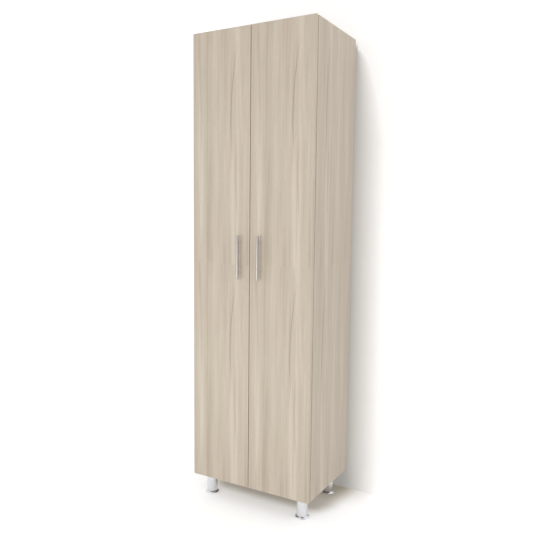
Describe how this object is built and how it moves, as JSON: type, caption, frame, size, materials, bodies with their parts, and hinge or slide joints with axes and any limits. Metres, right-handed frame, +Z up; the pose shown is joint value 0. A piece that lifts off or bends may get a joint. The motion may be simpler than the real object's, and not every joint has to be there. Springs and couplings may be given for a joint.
{
  "type": "storage cupboard",
  "caption": "Tall narrow storage cupboard with full-height doors on concealed cup hinges, vertical bar handles, shelves inside and chromed levelling legs.",
  "frame": {"origin": "on the floor under the middle of the whole cupboard, handles included", "axes": "+X to the right seen from the front, +Y towards the back, +Z up; the doors face -Y"},
  "size_m": [0.6, 0.431, 2.1],
  "materials": {
    "laminate": "pale grey-beige ash-grain laminate, matt",
    "hardboard": "thin hardboard, laminated inside and raw behind",
    "zinc_steel": "bright zinc plate",
    "die_cast_zinc": "bare die casting",
    "beech": "fluted dowel, bare",
    "nickel_steel": "nickel plate",
    "satin_handle": "satin",
    "chrome": "polished",
    "black_plastic": "moulded",
    "clear_bumper": "clear, soft"
  },
  "bodies": {
    "carcass": {"side_panel_left": "laminate", "side_panel_right": "laminate", "top_panel": "laminate", "bottom_panel": "laminate", "fixed_shelf": "laminate", "shelf_1": "laminate", "shelf_2": "laminate", "shelf_3": "laminate", "shelf_4": "laminate", "back_panel": "hardboard", "shelf_pins": "zinc_steel", "cam_locks": "die_cast_zinc", "cam_bolts": "zinc_steel", "wood_dowels": "beech", "hinge_plates": "nickel_steel", "hinge_arms": "nickel_steel", "leg_plates": "chrome", "leg_tubes": "chrome", "leg_plugs": "black_plastic"},
    "left_door": {"left_door_panel": "laminate", "left_hinge_cups": "nickel_steel", "left_handle_bar": "satin_handle", "left_handle_posts": "satin_handle", "left_door_bumpers": "clear_bumper"},
    "left_outer_links": {"left_outer_links": "nickel_steel"},
    "left_inner_links": {"left_inner_links": "nickel_steel"},
    "right_door": {"right_door_panel": "laminate", "right_hinge_cups": "nickel_steel", "right_handle_bar": "satin_handle", "right_handle_posts": "satin_handle", "right_door_bumpers": "clear_bumper"},
    "right_outer_links": {"right_outer_links": "nickel_steel"},
    "right_inner_links": {"right_inner_links": "nickel_steel"},
    "foot_front_left": {"foot_front_left": "chrome"},
    "foot_front_right": {"foot_front_right": "chrome"},
    "foot_back_left": {"foot_back_left": "chrome"},
    "foot_back_right": {"foot_back_right": "chrome"}
  },
  "joints": [
    {"name": "left_outer_link_turn", "type": "hinge", "parent": "carcass", "child": "left_outer_links", "pos_m": [-0.264, -0.1645, 1.1], "axis": [0, 0, -1], "range_deg": [-25.3, 0]},
    {"name": "left_door_swing", "type": "hinge", "parent": "left_outer_links", "child": "left_door", "pos_m": [-0.288, -0.1755, 1.1], "axis": [0, 0, -1], "range_deg": [0, 120]},
    {"name": "left_inner_link_turn", "type": "hinge", "parent": "carcass", "child": "left_inner_links", "pos_m": [-0.262, -0.1575, 1.1], "axis": [0, 0, -1], "range_deg": [-5.7, 0]},
    {"name": "right_outer_link_turn", "type": "hinge", "parent": "carcass", "child": "right_outer_links", "pos_m": [0.264, -0.1645, 1.1], "axis": [0, 0, 1], "range_deg": [-25.3, 0]},
    {"name": "right_door_swing", "type": "hinge", "parent": "right_outer_links", "child": "right_door", "pos_m": [0.288, -0.1755, 1.1], "axis": [0, 0, 1], "range_deg": [0, 120]},
    {"name": "right_inner_link_turn", "type": "hinge", "parent": "carcass", "child": "right_inner_links", "pos_m": [0.262, -0.1575, 1.1], "axis": [0, 0, 1], "range_deg": [-5.7, 0]},
    {"name": "foot_front_left_screw", "type": "slide", "parent": "carcass", "child": "foot_front_left", "axis": [0, 0, -1], "range_m": [0, 0.01]},
    {"name": "foot_front_right_screw", "type": "slide", "parent": "carcass", "child": "foot_front_right", "axis": [0, 0, -1], "range_m": [0, 0.01]},
    {"name": "foot_back_left_screw", "type": "slide", "parent": "carcass", "child": "foot_back_left", "axis": [0, 0, -1], "range_m": [0, 0.01]},
    {"name": "foot_back_right_screw", "type": "slide", "parent": "carcass", "child": "foot_back_right", "axis": [0, 0, -1], "range_m": [0, 0.01]}
  ],
  "couplings": [
    {"joint": "left_outer_link_turn", "follows": "left_door_swing", "ratio": -0.21},
    {"joint": "left_inner_link_turn", "follows": "left_door_swing", "ratio": -0.0472},
    {"joint": "right_outer_link_turn", "follows": "right_door_swing", "ratio": -0.21},
    {"joint": "right_inner_link_turn", "follows": "right_door_swing", "ratio": -0.0472}
  ]
}
